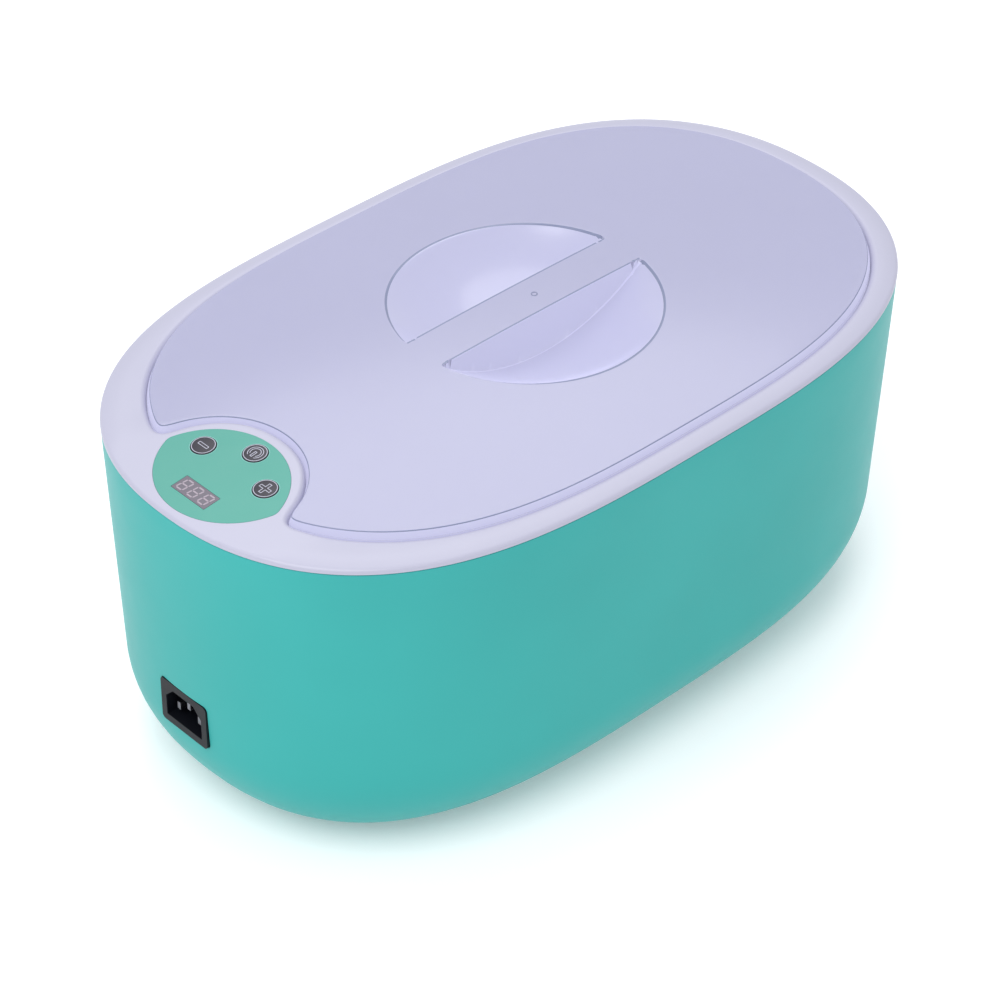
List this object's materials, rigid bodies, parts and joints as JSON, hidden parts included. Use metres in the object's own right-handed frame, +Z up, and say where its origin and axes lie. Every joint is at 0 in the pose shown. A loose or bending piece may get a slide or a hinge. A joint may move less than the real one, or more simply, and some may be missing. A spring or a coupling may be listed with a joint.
{
  "type": "paraffin wax bath",
  "caption": "Oval tabletop wax bath: teal tub, white top frame with sloping control panel, lift-off milky lid with half-moon grip wells, heated pot and mains inlet.",
  "frame": {"origin": "centre of the footprint on the surface the rubber feet stand on", "axes": "+Z up, Y along the oval's long side with the control panel and mains inlet at -Y, +X to the right when facing the back from the panel end"},
  "size_m": [0.2422, 0.4, 0.1856],
  "materials": {
    "tub": "satin teal ABS",
    "frame": "satin white ABS",
    "lid": "glossy milky polycarbonate",
    "overlay": "satin teal-green overlay sheet",
    "button": "satin dark grey keys",
    "display": "grey display face",
    "black": "moulded black plastic",
    "rubber": "moulded rubber",
    "silicone": "translucent silicone",
    "aluminium": "deep-drawn aluminium, brushed",
    "steel": "plated steel",
    "board": "printed circuit board",
    "felt": "needled insulation felt",
    "orange": "silicone rubber heater, or wrapped winding",
    "grille": "moulded white grille",
    "blue": "blue plastic",
    "brown": "brown wire sleeve",
    "green": "green plastic",
    "grey": "grey plastic"
  },
  "bodies": {
    "housing": {"outer_housing": "tub", "rubber_foot_front_left": "rubber", "rubber_foot_front_right": "rubber", "rubber_foot_back_left": "rubber", "rubber_foot_back_right": "rubber", "frame_screw_left": "steel", "frame_screw_right": "steel", "bezel": "frame", "control_panel_overlay": "overlay", "display_module": "display", "control_board": "board", "tact_switch_minus": "black", "tact_switch_power": "black", "tact_switch_plus": "black", "board_screw_left": "steel", "board_screw_right": "steel", "inner_pot": "aluminium", "pot_gasket": "silicone", "pot_clamp_front_left": "steel", "pot_clamp_front_right": "steel", "pot_clamp_back_left": "steel", "pot_clamp_back_right": "steel", "pot_clamp_screw_front_left": "steel", "pot_clamp_screw_front_right": "steel", "pot_clamp_screw_back_left": "steel", "pot_clamp_screw_back_right": "steel", "insulation_blanket": "felt", "heating_mat": "orange", "heater_clamp_plate": "steel", "heater_nut_1": "steel", "heater_nut_2": "steel", "heater_nut_3": "steel", "thermal_cutout": "black", "thermal_fuse": "silicone", "temperature_sensor": "aluminium", "inlet_housing": "black", "inlet_pin_live": "steel", "inlet_pin_neutral": "steel", "inlet_pin_earth": "steel", "power_board": "board", "relay": "blue", "transformer": "orange", "filter_capacitor": "grey", "terminal_block": "green", "wire_live": "brown", "wire_neutral": "blue", "wire_earth": "green", "heater_lead": "silicone", "sensor_lead": "silicone", "ribbon_cable": "grey"},
    "lid": {"lid": "lid"},
    "minus_key": {"button_minus": "button"},
    "power_key": {"button_power": "button"},
    "plus_key": {"button_plus": "button"},
    "pot_grille": {"pot_grille": "grille"}
  },
  "joints": [
    {"name": "lid_lift", "type": "slide", "parent": "housing", "child": "lid", "axis": [0, 0, 1], "range_m": [0, 0.15]},
    {"name": "minus_press", "type": "slide", "parent": "housing", "child": "minus_key", "axis": [0, 0.1045, -0.9945], "range_m": [0, 0.0004], "stiffness_N_per_m": 600, "springref_m": -0.0004},
    {"name": "power_press", "type": "slide", "parent": "housing", "child": "power_key", "axis": [0, 0.1045, -0.9945], "range_m": [0, 0.0004], "stiffness_N_per_m": 600, "springref_m": -0.0004},
    {"name": "plus_press", "type": "slide", "parent": "housing", "child": "plus_key", "axis": [0, 0.1045, -0.9945], "range_m": [0, 0.0004], "stiffness_N_per_m": 600, "springref_m": -0.0004},
    {"name": "grille_lift", "type": "slide", "parent": "housing", "child": "pot_grille", "axis": [0, 0, 1], "range_m": [0, 0.09]}
  ]
}
